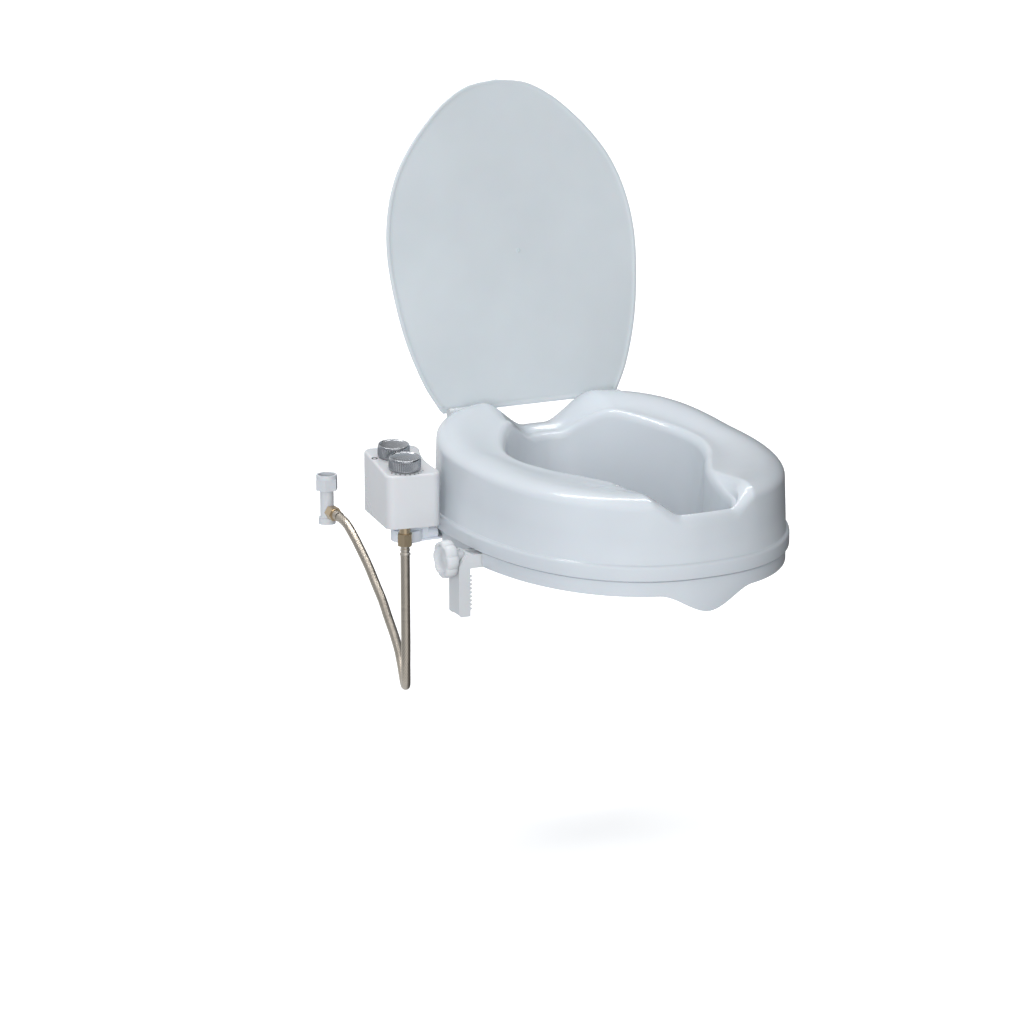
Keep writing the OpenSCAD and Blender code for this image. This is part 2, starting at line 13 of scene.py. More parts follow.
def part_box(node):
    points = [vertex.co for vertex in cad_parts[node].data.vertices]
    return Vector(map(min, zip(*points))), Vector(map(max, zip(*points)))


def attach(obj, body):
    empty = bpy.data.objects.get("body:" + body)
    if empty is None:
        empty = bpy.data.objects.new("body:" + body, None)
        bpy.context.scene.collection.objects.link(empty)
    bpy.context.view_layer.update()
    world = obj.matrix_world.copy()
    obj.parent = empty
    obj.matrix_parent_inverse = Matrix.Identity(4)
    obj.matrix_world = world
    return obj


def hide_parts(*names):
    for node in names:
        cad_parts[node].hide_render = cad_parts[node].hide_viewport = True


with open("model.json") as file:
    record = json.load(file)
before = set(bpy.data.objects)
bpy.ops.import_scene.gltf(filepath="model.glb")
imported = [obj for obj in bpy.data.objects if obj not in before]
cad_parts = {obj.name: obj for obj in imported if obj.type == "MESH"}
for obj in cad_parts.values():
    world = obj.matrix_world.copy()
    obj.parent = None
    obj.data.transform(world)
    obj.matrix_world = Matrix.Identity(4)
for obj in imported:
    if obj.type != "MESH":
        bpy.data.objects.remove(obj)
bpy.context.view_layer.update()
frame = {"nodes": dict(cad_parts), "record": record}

MM = 0.001
FULL = 2 * math.pi


# ---- Camera ----
CAMERA_AT = (-1.9094, -3.5869, 1.1398)
CAMERA_LOOK = (0.42823, 0.86433, -0.26372)
CAMERA_LENS = 121.84


def make_camera():
    data = bpy.data.cameras.new("camera")
    data.lens = CAMERA_LENS
    data.sensor_width = 36
    data.dof.use_dof = False
    camera = bpy.data.objects.new("camera", data)
    camera.location = CAMERA_AT
    camera.rotation_euler = Vector(CAMERA_LOOK).to_track_quat("-Z", "Y").to_euler()
    bpy.context.scene.collection.objects.link(camera)
    bpy.context.scene.camera = camera


make_camera()


# ---- Curves and meshes ----
def smooth(t):
    u = max(0.0, min(1.0, t))
    return u * u * (3 - 2 * u)


def mix(a, b, t):
    return a + (b - a) * t


def blend4(a, b, c, d, t):
    return [0.5 * (2 * q + (r - p) * t + (2 * p - 5 * q + 4 * r - s) * t * t
                   + (3 * q - p - 3 * r + s) * t ** 3) for p, q, r, s in zip(a, b, c, d)]


def closed_curve(points, steps):
    n = len(points)
    return [blend4(points[i - 1], points[i], points[(i + 1) % n], points[(i + 2) % n], j / steps)
            for i in range(n) for j in range(steps)]


def open_curve(points, steps):
    first = [2 * a - b for a, b in zip(points[0], points[1])]
    last = [2 * a - b for a, b in zip(points[-1], points[-2])]
    p = [first] + [list(q) for q in points] + [last]
    curve = [blend4(p[i], p[i + 1], p[i + 2], p[i + 3], j / steps)
             for i in range(len(points) - 1) for j in range(steps)]
    return curve + [list(points[-1])]


def arc(cx, cy, rx, ry, start, end, count):
    """Points on an ellipse's arc, from angle start to end in degrees."""
    angles = [math.radians(mix(start, end, k / (count - 1))) for k in range(count)]
    return [(cx + rx * math.cos(a), cy + ry * math.sin(a)) for a in angles]


def new_mesh(name, verts, faces, sharp=40, matrix=None):
    """A smooth-shaded object from points in millimetres."""
    mesh = bpy.data.meshes.new(name)
    place = matrix or Matrix.Identity(4)
    mesh.from_pydata([(place @ Vector(v)) * MM for v in verts], [], faces)
    mesh.validate()
    mesh.shade_smooth()
    mesh.set_sharp_from_angle(angle=math.radians(sharp))
    piece = bpy.data.objects.new(name, mesh)
    bpy.context.scene.collection.objects.link(piece)
    return piece


def turned_out(piece):
    """Faces turned so that normals point out of the closed mesh."""
    bm = bmesh.new()
    bm.from_mesh(piece.data)
    bmesh.ops.recalc_face_normals(bm, faces=bm.faces)
    bm.to_mesh(piece.data)
    bm.free()
    return piece


def lofted(name, loops, round_trip=False, sharp=40, matrix=None):
    """A closed skin through equal loops: a tube with two flat ends, or a ring if round_trip."""
    n = len(loops)
    m = len(loops[0])
    verts = [p for loop in loops for p in loop]
    spans = n if round_trip else n - 1
    faces = [(i * m + j, i * m + (j + 1) % m, (i + 1) % n * m + (j + 1) % m, (i + 1) % n * m + j)
             for i in range(spans) for j in range(m)]
    if not round_trip:
        faces.append(tuple(reversed(range(m))))
        faces.append(tuple(range((n - 1) * m, n * m)))
    return turned_out(new_mesh(name, verts, faces, sharp, matrix))


def turned(name, profile, count=64, radius=None, sharp=40, matrix=None):
    """A turned shape from (radius, height, detail) rows; radius(r, angle, detail) may shape each row."""
    shape = radius or (lambda r, angle, detail: r)
    loops = [[(shape(r, k * FULL / count, d) * math.cos(k * FULL / count),
               shape(r, k * FULL / count, d) * math.sin(k * FULL / count), z) for k in range(count)]
             for r, z, d in profile]
    return lofted(name, loops, sharp=sharp, matrix=matrix)


def joined(name, pieces):
    """One object from several."""
    bm = bmesh.new()
    for piece in pieces:
        bm.from_mesh(piece.data)
        mesh = piece.data
        bpy.data.objects.remove(piece)
        bpy.data.meshes.remove(mesh)
    mesh = bpy.data.meshes.new(name)
    bm.to_mesh(mesh)
    bm.free()
    mesh.shade_smooth()
    mesh.set_sharp_from_angle(angle=math.radians(40))
    result = bpy.data.objects.new(name, mesh)
    bpy.context.scene.collection.objects.link(result)
    return result


def block(name, low, high):
    corners = [(x, y, z) for z in (low[2], high[2]) for x, y in
               ((low[0], low[1]), (high[0], low[1]), (high[0], high[1]), (low[0], high[1]))]
    return lofted(name, [corners[:4], corners[4:]])


def cut(piece, blocks):
    """The blocks, as (low, high) corners, are cut out of the piece."""
    cutter = joined("cutter", [block("cutter_block", low, high) for low, high in blocks])
    change = piece.modifiers.new("cut", "BOOLEAN")
    change.operation = "DIFFERENCE"
    change.solver = "EXACT"
    change.object = cutter
    applied(piece)
    mesh = cutter.data
    bpy.data.objects.remove(cutter)
    bpy.data.meshes.remove(mesh)
    piece.data.shade_smooth()
    piece.data.set_sharp_from_angle(angle=math.radians(40))


def applied(piece):
    """The piece's modifiers become part of its mesh."""
    shape = piece.evaluated_get(bpy.context.evaluated_depsgraph_get())
    mesh = bpy.data.meshes.new_from_object(shape)
    piece.modifiers.clear()
    old = piece.data
    piece.data = mesh
    bpy.data.meshes.remove(old)


def softened(node, width, segments=3):
    """A carried-over CAD piece with rounded edges."""
    piece = frame["nodes"][node]
    flat = piece.modifiers.new("flat", "DECIMATE")
    flat.decimate_type = "DISSOLVE"
    flat.angle_limit = math.radians(2)
    edge = piece.modifiers.new("edge", "BEVEL")
    edge.width = width * MM
    edge.segments = segments
    edge.limit_method = "ANGLE"
    edge.angle_limit = math.radians(35)
    edge.use_clamp_overlap = True
    piece.data.shade_smooth()
    piece.data.set_sharp_from_angle(angle=math.radians(40))


# ---- Materials ----
def material(name, color, roughness, metallic=0.0, coat=0.0, grain=900, bump=0.05, mottle=0.03, spec=0.5):
    """Moulded or metal surface: fine grain in the bump, slow changes in colour and roughness."""
    made = bpy.data.materials.new(name)
    made.use_nodes = True
    nodes = made.node_tree.nodes
    links = made.node_tree.links
    shader = nodes["Principled BSDF"]
    shader.inputs["Metallic"].default_value = metallic
    shader.inputs["Coat Weight"].default_value = coat
    shader.inputs["Coat Roughness"].default_value = 0.08
    shader.inputs["Specular IOR Level"].default_value = spec
    place = nodes.new("ShaderNodeTexCoord")
    slow = nodes.new("ShaderNodeTexNoise")
    slow.inputs["Scale"].default_value = 9
    slow.inputs["Detail"].default_value = 3
    links.new(place.outputs["Object"], slow.inputs["Vector"])
    tone = nodes.new("ShaderNodeValToRGB")
    tone.color_ramp.elements[0].position = 0.3
    tone.color_ramp.elements[0].color = [c * (1 - mottle) for c in color] + [1]
    tone.color_ramp.elements[1].position = 0.7
    tone.color_ramp.elements[1].color = [min(1, c * (1 + mottle)) for c in color] + [1]
    links.new(slow.outputs["Fac"], tone.inputs["Fac"])
    links.new(tone.outputs["Color"], shader.inputs["Base Color"])
    wear = nodes.new("ShaderNodeMapRange")
    wear.inputs["To Min"].default_value = roughness * 0.85
    wear.inputs["To Max"].default_value = roughness * 1.2
    links.new(slow.outputs["Fac"], wear.inputs["Value"])
    links.new(wear.outputs["Result"], shader.inputs["Roughness"])
    fine = nodes.new("ShaderNodeTexNoise")
    fine.inputs["Scale"].default_value = grain
    fine.inputs["Detail"].default_value = 2
    links.new(place.outputs["Object"], fine.inputs["Vector"])
    relief = nodes.new("ShaderNodeBump")
    relief.inputs["Strength"].default_value = bump
    relief.inputs["Distance"].default_value = 0.0004
    links.new(fine.outputs["Fac"], relief.inputs["Height"])
    links.new(relief.outputs["Normal"], shader.inputs["Normal"])
    return made


def soft_plastic(name, color, roughness, **more):
    """Plastic that light enters a little."""
    made = material(name, color, roughness, **more)
    shader = made.node_tree.nodes["Principled BSDF"]
    shader.inputs["Subsurface Weight"].default_value = 0.08
    shader.inputs["Subsurface Scale"].default_value = 0.004
    return made


def braid_material(name):
    """Woven steel wire with painted shade: the mesh's weave attribute darkens the gaps between the bundles of
    wire, standing in for the shade that falls in them.
    """
    made = material(name, (0.42, 0.36, 0.29), 0.34, metallic=1.0, grain=2500, bump=0.1, mottle=0.08)
    nodes = made.node_tree.nodes
    links = made.node_tree.links
    shader = nodes["Principled BSDF"]
    depth = nodes.new("ShaderNodeAttribute")
    depth.attribute_name = "weave"
    # painted shade: near-black where the weave is low, between the wire bundles, lighter on top of them
    shade = nodes.new("ShaderNodeValToRGB")
    shade.color_ramp.elements[0].position = 0.0
    shade.color_ramp.elements[0].color = (0.03, 0.026, 0.021, 1)
    shade.color_ramp.elements[1].position = 0.75
    shade.color_ramp.elements[1].color = (0.64, 0.57, 0.48, 1)
    links.new(depth.outputs["Fac"], shade.inputs["Fac"])
    links.new(shade.outputs["Color"], shader.inputs["Base Color"])
    return made


SEAT_COLOR = (0.60, 0.64, 0.68)
LID_COLOR = (0.63, 0.68, 0.71)
WHITE = (0.62, 0.64, 0.66)
BY_SLOT = {
    "seat_white": soft_plastic("seat_white", SEAT_COLOR, 0.2, coat=0.25, grain=420, bump=0.03),
    "base_white": soft_plastic("base_white", SEAT_COLOR, 0.24, coat=0.15, grain=420, bump=0.03),
    "lid_white": soft_plastic("lid_white", LID_COLOR, 0.36, grain=700, bump=0.04),
    "fitting_white": soft_plastic("fitting_white", WHITE, 0.35),
    "clamp_white": soft_plastic("clamp_white", WHITE, 0.38, grain=1200, bump=0.08),
    "clamp_nut_grey": material("clamp_nut_grey", (0.2, 0.2, 0.21), 0.5),
    "rubber_pad": material("rubber_pad", (0.03, 0.03, 0.032), 0.75, grain=1500, bump=0.2),
    "screw_steel": material("screw_steel", (0.5, 0.5, 0.5), 0.3, metallic=1.0),
    "box_white": soft_plastic("box_white", (0.63, 0.64, 0.66), 0.28, coat=0.2, grain=800, bump=0.05),
    "dial_silver": material("dial_silver", (0.44, 0.45, 0.47), 0.22, metallic=1.0, grain=2200, bump=0.06),
    "valve_plastic": soft_plastic("valve_plastic", (0.55, 0.57, 0.6), 0.4),
    "seal_black": material("seal_black", (0.012, 0.012, 0.014), 0.5),
    "brass": material("brass", (0.60, 0.47, 0.31), 0.27, metallic=1.0, grain=1500, bump=0.05, mottle=0.06),
    # painted light: the arm's white plastic is made lighter than the other white parts to offset the shade it
    # sits in under the box
    "plate_plastic": soft_plastic("plate_plastic", (0.74, 0.78, 0.84), 0.4),
    "tube_clear": soft_plastic("tube_clear", (0.7, 0.74, 0.8), 0.3),
    "braid_steel": braid_material("braid_steel"),
    "ferrule_steel": material("ferrule_steel", (0.66, 0.60, 0.52), 0.28, metallic=1.0, mottle=0.06),
    "tee_white": soft_plastic("tee_white", (0.64, 0.66, 0.69), 0.33),
}


def finished(piece, slot, body, *nodes):
    """A new piece with its material, its body and the CAD nodes that it stands for."""
    piece.data.materials.clear()
    piece.data.materials.append(BY_SLOT[slot])
    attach(piece, body)
    if nodes:
        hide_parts(*nodes)
    return piece


# ---- Hose ----
HOSE_D = 11.5
HOSE_PATH = [
    (-246, 60, -9), (-246, 60, -45), (-246, 60, -85), (-246, 60, -122), (-244.5, 64, -150), (-239, 76, -173),
    (-230, 97, -187), (-221, 121, -188), (-214, 143, -177), (-210, 161, -162), (-208, 179, -147),
    (-207, 198, -131), (-206, 217, -114), (-206, 237, -98), (-206, 258, -81), (-207, 279, -65),
    (-208, 300, -50.5), (-209, 320, -39.5), (-210, 340, -35),
]
HOSE_SIDES = 48
RING_STEP = 0.75
WIRE_PAIRS = 12         # bundles of wire each way round
WEAVE_PITCH = 5.2       # length over which a bundle moves on by one place
WEAVE_DEPTH = 0.35


def even_points(curve, step):
    """Points a fixed distance apart along a fine curve."""
    points = [Vector(p) for p in curve]
    result = [points[0]]
    left = step
    for a, b in zip(points, points[1:]):
        span = (b - a).length
        done = 0.0
        while span - done >= left:
            done += left
            result.append(a.lerp(b, done / span))
            left = step
        left -= span - done
    if (result[-1] - points[-1]).length > 0.2 * step:
        result.append(points[-1])
    else:
        result[-1] = points[-1]
    return result


def weave_height(around, along):
    """0 between the wire bundles, 1 on top of them; bundles cross over and under."""
    p = WIRE_PAIRS * around + along / WEAVE_PITCH
    q = WIRE_PAIRS * around - along / WEAVE_PITCH
    over = math.cos(math.pi * (p + q)) * math.cos(math.pi * (p - q)) > 0
    return abs(math.sin(math.pi * (p if over else q))) ** 0.6


def make_hose():
    points = even_points(open_curve(HOSE_PATH, 40), RING_STEP)
    loops = []
    heights = []
    side = Vector((1, 0, 0))
    for i, p in enumerate(points):
        way = (points[min(i + 1, len(points) - 1)] - points[max(i - 1, 0)]).normalized()
        side = (side - way * side.dot(way)).normalized()
        up = way.cross(side)
        ring = []
        for k in range(HOSE_SIDES):
            angle = k * FULL / HOSE_SIDES
            height = weave_height(k / HOSE_SIDES, i * RING_STEP)
            radius = HOSE_D / 2 - WEAVE_DEPTH * (1 - height)
            ring.append(p + radius * (math.cos(angle) * side + math.sin(angle) * up))
            heights.append(height)
        loops.append(ring)
    hose = lofted("braided_hose", loops, sharp=60)
    # the weave height, which the braid material turns into painted shade in the gaps between bundles
    weave = hose.data.attributes.new("weave", "FLOAT", "POINT")
    for i, height in enumerate(heights):
        weave.data[i].value = height
    finished(hose, "braid_steel", "seat", "hose")
    return hose, [tuple(p * MM) for p in points[::8]] + [tuple(points[-1] * MM)]


def ferrule(name, matrix):
    """Crimped sleeve: two pressed grooves, and a bright collar at the hose's end."""
    outer = HOSE_D / 2 + 1
    rows = [(outer - 2.6, 0.0, 0), (outer - 1.2, 0.0, 0), (outer - 0.9, 0.3, 0)]
    for groove in (3.0, 8.0):
        rows += [(outer - 0.9, groove - 1.2, 0), (outer - 1.5, groove - 0.5, 0),
                 (outer - 1.5, groove + 0.5, 0), (outer - 0.9, groove + 1.2, 0)]
    rows += [(outer - 0.1, 10.4, 0), (outer - 0.1, 11.6, 0), (outer - 0.5, 12.0, 0), (outer - 2.6, 12.0, 0)]
    return turned(name, rows, 48, matrix=matrix)


BOX_END = (-246, 60, 3)
TEE_END = (-210, 352, -35)
hose, hose_line = make_hose()
box_ferrule = ferrule("hose_ferrule_box_end",
                      Matrix.Translation(BOX_END) @ Matrix.Rotation(math.pi, 4, "X"))
tee_ferrule = ferrule("hose_ferrule_tee_end",
                      Matrix.Translation(TEE_END) @ Matrix.Rotation(math.pi / 2, 4, "X"))
finished(box_ferrule, "ferrule_steel", "seat", "hose_ferrule_box")
finished(tee_ferrule, "ferrule_steel", "seat", "hose_ferrule_tee")


# ---- Seat shell and base ring ----
WIDEST_Y = 25
SEAT_HALF_W = 193
SEAT_FRONT = 273
SEAT_REAR = 199
SEAT_HEIGHT = 115
FRONT_DIP = 22
REAR_DIP = 37
TOP_SLOPE = 0.024
REAR_RISE = 14
WALL = 3.5
JOINT_Z = 13.5
BEAD_TOP = 32.5
BEAD_OUT = 4.5
DRAFT = 2.7
ROLL_W = 26
ROLL_H = 16
LIP_R = 12
INWARD_FALL = 6
COLLAR_Z = -18
SKIRT_DROP = 6
FLAP_DROP = 23
FLAP_HALF = 62
WEB_BOTTOM = 7
WEB_TOP = 10.5
RINGS_PER_SPAN = 14
HALF_OPENING = [
    (0, -229), (34, -227), (46, -212), (50, -182), (56, -150), (66, -118), (82, -86),
    (102, -48), (116, 0), (114, 48), (92, 96), (62, 134), (34, 158), (0, 168),
]


def oval(half_w, front, rear, blunt_front, blunt_rear, a):
    ahead = math.cos(a) > 0
    n = blunt_front if ahead else blunt_rear
    length = front if ahead else rear
    return (abs(math.sin(a) / half_w) ** n + abs(math.cos(a) / length) ** n) ** (-1 / n)


def skirt_r(a):
    return oval(SEAT_HALF_W, SEAT_FRONT, SEAT_REAR, 2.3, 2.38, a)


def collar_r(a):
    return oval(92, 180, 104, 2.1, 2.1, a)


def at(a, r):
    return r * math.sin(a), WIDEST_Y - r * math.cos(a)


def top_z(a, r):
    x, y = at(a, r)
    front = 0 if y > 0 else FRONT_DIP * (1 - smooth((abs(x) - 32) / 38))
    rear = 0 if y < 60 else REAR_DIP * (1 - smooth((abs(x) - 15) / 66)) * smooth((y - 90) / 60)
    return SEAT_HEIGHT + TOP_SLOPE * y + REAR_RISE * smooth((y - 20) / 175) - front - rear


def shell_section(a, ri):
    """Cross-section on the ray at angle a: (radius, height) from the bead up, over and down to the collar."""
    ro = skirt_r(a)
    rb = collar_r(a)
    roll = min(ROLL_W, 0.45 * (ro - ri))
    lip = min(LIP_R, 0.35 * (ro - ri))
    z_in = top_z(a, ri + lip) - INWARD_FALL
    crest = ro - DRAFT - roll
    low = z_in - lip
    rows = arc(ro + BEAD_OUT - 1.2, JOINT_Z + 1.2, 1.2, 1.2, -90, 0, 4)
    rows += arc(ro, BEAD_TOP - 5, BEAD_OUT, 4.4, 0, 80, 8)
    rows += [(ro - 0.1, BEAD_TOP + 0.5),
             (mix(ro, ro - DRAFT, 0.5), mix(BEAD_TOP, top_z(a, ro) - ROLL_H, 0.5))]
    for k in range(13):
        b = math.radians(k * 7.5)
        r = crest + roll * math.cos(b)
        rows.append((r, top_z(a, r) - ROLL_H * (1 - math.sin(b))))
    for k in range(1, 10):
        r = mix(crest, ri + lip, k / 10)
        rows.append((r, top_z(a, r) - INWARD_FALL * smooth(k / 10)))
    for k in range(11):
        b = math.radians(k * 9)
        rows.append((ri + lip * (1 - math.sin(b)), z_in - lip * (1 - math.cos(b))))
    mid_r = 2 * mix(ri, rb, 0.42) - 0.5 * (ri + rb)
    for k in range(1, 9):
        t = k / 8
        rows.append(((1 - t) ** 2 * ri + 2 * t * (1 - t) * mid_r + t * t * rb, mix(low, COLLAR_Z + 1, t)))
    rows += arc(rb + 0.5 * WALL, COLLAR_Z + 1, 0.5 * WALL, 1, 210, 330, 4)
    rows += [(rb + WALL, COLLAR_Z + 1), (mix(ri, rb, 0.42) + WALL, mix(low, COLLAR_Z, 0.5)),
             (ri + WALL, low - 1), (ri + lip, z_in - WALL), (crest, top_z(a, crest) - WALL),
             (ro - DRAFT - WALL, top_z(a, ro - DRAFT) - ROLL_H), (ro - WALL, BEAD_TOP), (ro - WALL, JOINT_Z)]
    return rows


def base_section(a, ri):
    """Cross-section of the base ring: skirt, groove and the web that rests on the bowl."""
    ro = skirt_r(a)
    rw = mix(collar_r(a), ri, 0.3) + WALL + 2
    x, y = at(a, ro)
    flap = 0 if y > 0 else FLAP_DROP * (1 - smooth(abs(x) / FLAP_HALF))
    low = -SKIRT_DROP - flap
    return (arc(ro - 1.3, low + 1.3, 1.3, 1.3, -90, 0, 5) + arc(ro - 0.8, JOINT_Z - 2.8, 0.8, 0.8, 0, 90, 4)
            + [(ro - 1.5, JOINT_Z - 2), (ro - 1.5, JOINT_Z), (ro - 6, JOINT_Z), (ro - 6, WEB_TOP),
               (rw, WEB_TOP), (rw, WEB_BOTTOM), (ro - 4, WEB_BOTTOM), (ro - 4, low + 1), (ro - 3.5, low)])


def ringed(name, section):
    """The seat's ring: one cross-section on each ray through the opening's edge."""
    edge = closed_curve(HALF_OPENING + [(-x, y) for x, y in HALF_OPENING[-2:0:-1]], RINGS_PER_SPAN)
    loops = []
    for x, y in edge:
        a = math.atan2(x, WIDEST_Y - y)
        rows = section(a, math.hypot(x, y - WIDEST_Y))
        loops.append([(*at(a, r), z) for r, z in rows])
    return lofted(name, loops, round_trip=True)


def hinge_gaps():
    """Blocks to cut out of the shell's back edge, one for each hinge bracket."""
    low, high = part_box("hinge_bracket_right")
    low = [c / MM for c in low]
    high = [c / MM for c in high]
    sides = [((low[0] - 0.5, low[1] - 0.2, low[2]), (high[0] + 0.5, 260, 180))]
    return sides + [((-h[0], l[1], l[2]), (-l[0], h[1], h[2])) for l, h in sides]


shell = ringed("seat_top_shell", shell_section)
cut(shell, hinge_gaps() + [((-36, 90, COLLAR_Z - 1), (36, 154, 20))])
finished(shell, "seat_white", "seat", "seat_shell")
CLAMP_SLOTS = [((-208, -37, -30), (-136, -7, 14.5)), ((136, 55, -30), (208, 85, 14.5))]
base = ringed("base_skirt_ring", base_section)
cut(base, CLAMP_SLOTS + [((-210, 74, -30), (-150, 116, 7)), ((-96, 142, 6), (96, 200, 16))])
finished(base, "base_white", "seat", "base_ring")


# ---- Lid ----
LID_LEN = 410
LID_T = 3.5
LID_OPEN = math.radians(76.3)
FACE_BACK = 14
FACE_FOOT = Vector((0, 215.4, 118.1))
AXIS_AT = FACE_FOOT - FACE_BACK * Vector((0, math.sin(LID_OPEN), -math.cos(LID_OPEN)))
LID_FRAME = Matrix.Translation(AXIS_AT) @ Matrix.Rotation(LID_OPEN, 4, "X")
HALF_LID = [
    (0, LID_LEN), (40, LID_LEN - 6), (74, LID_LEN - 24), (103, LID_LEN - 49), (129, LID_LEN - 78),
    (151, LID_LEN - 112), (166, LID_LEN - 153), (173, LID_LEN - 200), (171, 158), (161, 96),
    (143, 40), (124, 4),
]
HINGE_X = 102
KNUCKLE_HALF = 10.5
KNUCKLE_R = 6
PIN_R = 3


def inset_loop(outline, inset):
    """The closed outline moved inwards; it runs clockwise seen from +Z."""
    n = len(outline)
    loop = []
    for i in range(n):
        a = Vector(outline[i - 1])
        b = Vector(outline[(i + 1) % n])
        along = (b - a).normalized()
        loop.append((outline[i][0] + along.y * inset, outline[i][1] - along.x * inset))
    return loop


def make_lid():
    """A flat sheet with a low rim round its inner face, and a knuckle at each hinge."""
    side = open_curve(HALF_LID, 10)
    outline = [(-x, y) for x, y in reversed(side)] + [tuple(p) for p in side[1:]] + [(120, 0), (-120, 0)]
    face = -FACE_BACK
    rows = [(9, face - 0.7), (5.5, face - 0.7), (4.4, face - 0.45), (3.6, face - 0.05), (3.2, face),
            (1.1, face), (0.55, face - 0.15), (0.15, face - 0.55), (0, face - 1.1), (0, face - LID_T + 1.1),
            (0.15, face - LID_T + 0.55), (0.55, face - LID_T + 0.15), (1.1, face - LID_T)]
    loops = [[(x, y, z) for x, y in inset_loop(outline, inset)] for inset, z in rows]
    parts = [lofted("panel", loops, matrix=LID_FRAME)]
    for sign in (-1, 1):
        start = sign * HINGE_X - KNUCKLE_HALF
        across = LID_FRAME @ Matrix.Translation((start, 0, 0)) @ Matrix.Rotation(math.pi / 2, 4, "Y")
        width = 2 * KNUCKLE_HALF
        rows = [(PIN_R + 0.06, 0), (KNUCKLE_R - 0.6, 0), (KNUCKLE_R, 0.6), (KNUCKLE_R, width - 0.6),
                (KNUCKLE_R - 0.6, width), (PIN_R + 0.06, width)]
        loops = [[(r * math.cos(k * FULL / 48), r * math.sin(k * FULL / 48), z) for k in range(48)]
                 for r, z in rows]
        parts.append(lofted("knuckle", loops, round_trip=True, matrix=across))
        foot = [(-5.2, -FACE_BACK - 0.5), (5.2, -FACE_BACK - 0.5), (5.2, -4.4), (4.2, -4.2), (-4.2, -4.2),
                (-5.2, -4.4)]
        loops = [[(start + dx, y, z) for y, z in foot] for dx in (0.2, width - 0.2)]
        parts.append(lofted("knuckle_foot", loops, matrix=LID_FRAME))
    return joined("lid_sheet", parts)


finished(make_lid(), "lid_white", "lid", "lid_panel")


GATE_MARK = (6, 194)


def gate_mark():
    """The small round scar that the moulding gate leaves on the lid's inner face."""
    place = LID_FRAME @ Matrix.Translation((GATE_MARK[0], GATE_MARK[1], -FACE_BACK - 0.75))
    rows = [(0.4, 0, 0), (0.9, 0.25, 0), (1.3, 0.45, 0), (1.7, 0.4, 0), (2.1, 0.15, 0), (3.6, 0.1, 0),
            (3.9, 0, 0)]
    return turned("lid_gate_mark", rows, 32, matrix=place)


finished(gate_mark(), "lid_white", "lid")


# ---- Control box ----
BOX_AT = (-232, 99, 0)
BOX_TURN = math.radians(-8)
BOX_FRAME = Matrix.Translation(BOX_AT) @ Matrix.Rotation(BOX_TURN, 4, "Z")
BOX_W = 68
BOX_L = 108
BOX_BOTTOM = 27
BOX_TOP = 97.5
BOX_SLOPE = math.radians(5.3)
CORNER_R = 11
BOX_WALL = 2.5
HOLLOW_R = 150
HOLLOW_DEPTH = 5
DIAL_X = -4.5
DIAL_D = 39
DIAL_H = 14.5
DIAL_YS = {"pressure": -28.5, "mode": 18.5}


def box_outline():
    """Points of the box's plan, clockwise seen from +Z, hollowed on the seat's side."""
    hw = BOX_W / 2
    hl = BOX_L / 2
    c = CORNER_R
    reach = math.asin(math.sqrt(HOLLOW_R ** 2 - (HOLLOW_R - HOLLOW_DEPTH) ** 2) / HOLLOW_R)
    centre = hw + HOLLOW_R - HOLLOW_DEPTH
    hollow = [(centre - HOLLOW_R * math.cos(b), HOLLOW_R * math.sin(b))
              for b in (mix(reach, -reach, k / 16) for k in range(17))]
    points = arc(-hw + c, hl - c, c, c, 180, 90, 13) + arc(hw - c, hl - c, c, c, 90, 0, 13)
    points += hollow + arc(hw - c, -hl + c, c, c, 0, -90, 13) + arc(-hw + c, -hl + c, c, c, -90, -180, 13)
    return points


def make_box():
    """The box's cover: a shell open below, with rounded upper edges and a sloping top."""
    outline = box_outline()

    def level(inset, drop=None, rise=0.0):
        """The outline, inset, at drop under the sloping top or, with no drop, at rise above the bottom."""
        loop = inset_loop(outline, inset)
        if drop is None:
            return [(x, y, BOX_BOTTOM + rise) for x, y in loop]
        return [(x, y, BOX_TOP + y * math.tan(BOX_SLOPE) - drop) for x, y in loop]

    loops = [level(BOX_WALL, drop=BOX_WALL), level(BOX_WALL, rise=0.5), level(BOX_WALL - 0.4), level(1.0),
             level(0.3, rise=0.3), level(0.0, rise=1.0)]
    fillet = 3.2
    for k in range(9):
        b = math.radians(k * 11.25)
        loops.append(level(fillet * (1 - math.cos(b)), drop=fillet * (1 - math.sin(b))))
    loops.append(level(6, drop=0))
    return lofted("control_box_cover", loops, sharp=50, matrix=BOX_FRAME)


def on_top(x, y):
    """The box's sloping top face at a point of the box's plan."""
    return (BOX_FRAME @ Matrix.Translation((x, 0, BOX_TOP)) @ Matrix.Rotation(BOX_SLOPE, 4, "X")
            @ Matrix.Translation((0, y / math.cos(BOX_SLOPE), 0)))


def make_dial(name, y):
    """Ribbed dial: skirt, ribbed side, bright raised rim and a sunk top."""
    r = DIAL_D / 2
    rows = [(r - 1.2, 1.0, 0), (r - 0.5, 1.0, 0), (r - 0.1, 1.3, 0), (r - 0.1, 2.2, 0), (r, 2.9, 1),
            (r, DIAL_H - 2.2, 1), (r - 0.2, DIAL_H - 1.4, 0), (r - 0.5, DIAL_H + 0.1, 0),
            (r - 1.0, DIAL_H + 0.7, 0), (r - 1.6, DIAL_H + 1.0, 0), (r - 2.2, DIAL_H + 0.8, 0),
            (r - 2.7, DIAL_H + 0.1, 0),
            (r - 3.6, DIAL_H - 0.2, 0), (6, DIAL_H - 0.3, 0), (0.5, DIAL_H - 0.3, 0)]
    ribs = 48

    def radius(row_r, angle, detail):
        return row_r - detail * 1.1 * (0.5 + 0.5 * math.cos(ribs * angle)) ** 0.7

    return turned(name, rows, ribs * 8, radius, sharp=50, matrix=on_top(DIAL_X, y))


